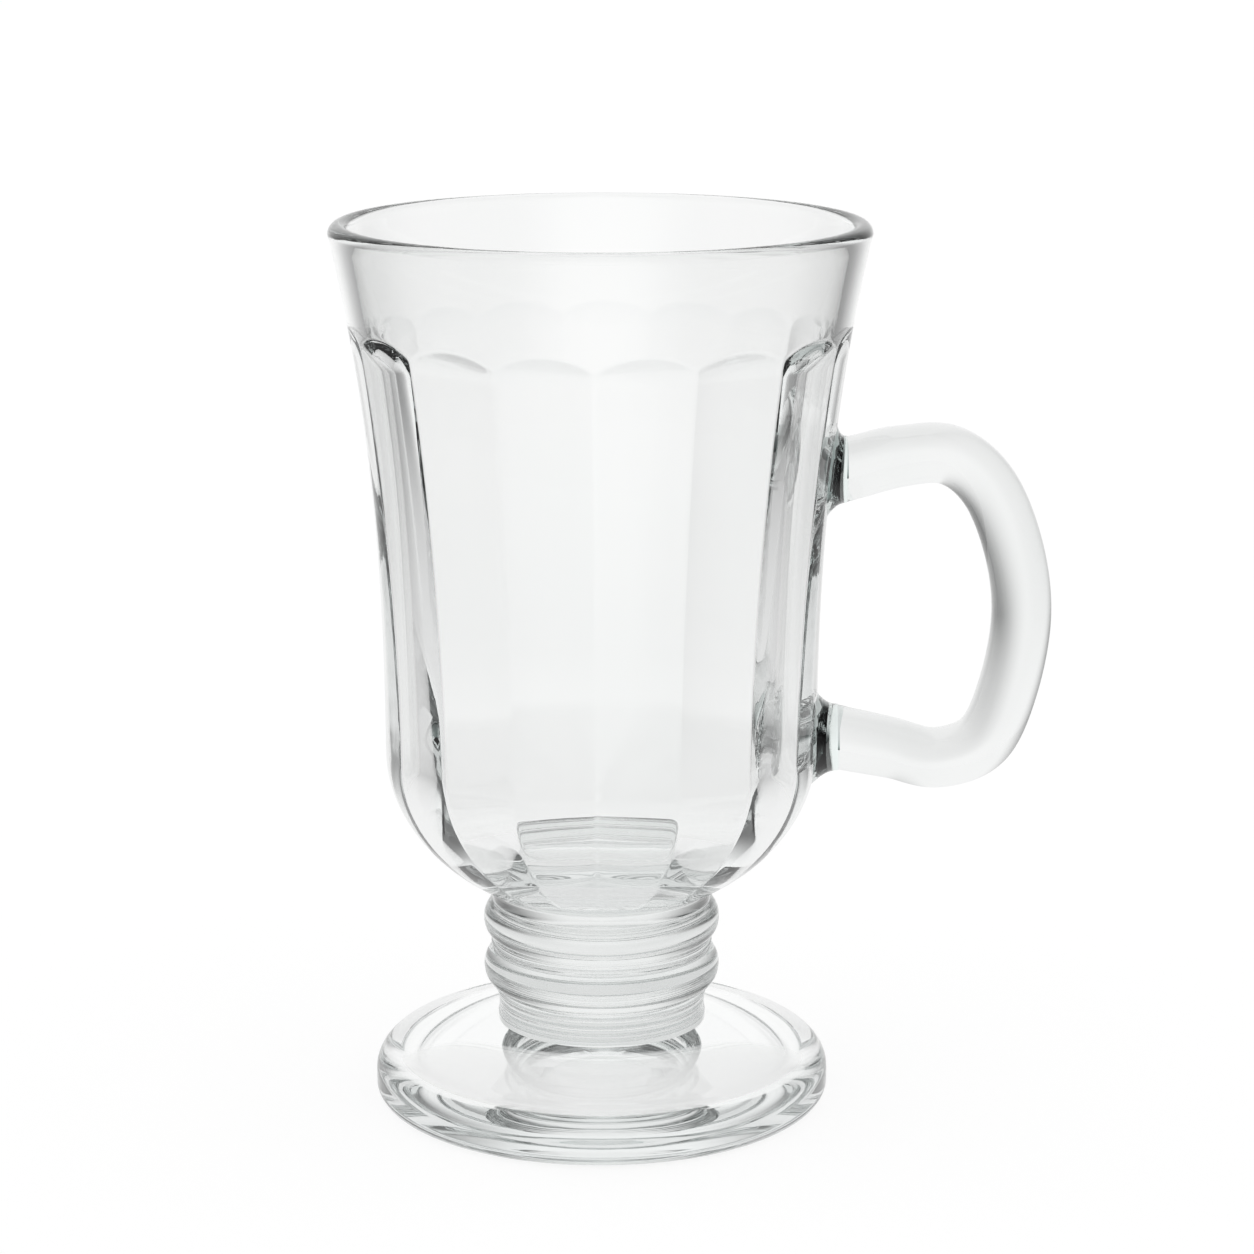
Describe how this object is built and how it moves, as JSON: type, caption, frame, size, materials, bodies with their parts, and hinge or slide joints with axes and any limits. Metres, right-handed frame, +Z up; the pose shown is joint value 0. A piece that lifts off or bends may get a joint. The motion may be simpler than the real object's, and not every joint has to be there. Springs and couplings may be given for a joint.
{
  "type": "irish coffee glass mug",
  "caption": "Footed clear glass mug with a flared bowl, flat panels inside it, a ringed stem and a D-shaped handle, for hot coffee drinks.",
  "frame": {"origin": "middle of the foot's resting ring, in the plane that the mug stands on", "axes": "+Z up along the axis of the bowl, +X towards the handle, +Y across the handle's plane"},
  "size_m": [0.1063, 0.079, 0.1327],
  "materials": {
    "clear_glass": "clear, smooth pressed glass",
    "joint_glass": "clear glass with a faint green tint where it is thick"
  },
  "bodies": {
    "root": {"bowl": "clear_glass", "stem": "clear_glass", "foot": "clear_glass", "handle": "clear_glass", "upper_handle_pad": "joint_glass", "lower_handle_pad": "joint_glass"}
  },
  "joints": []
}
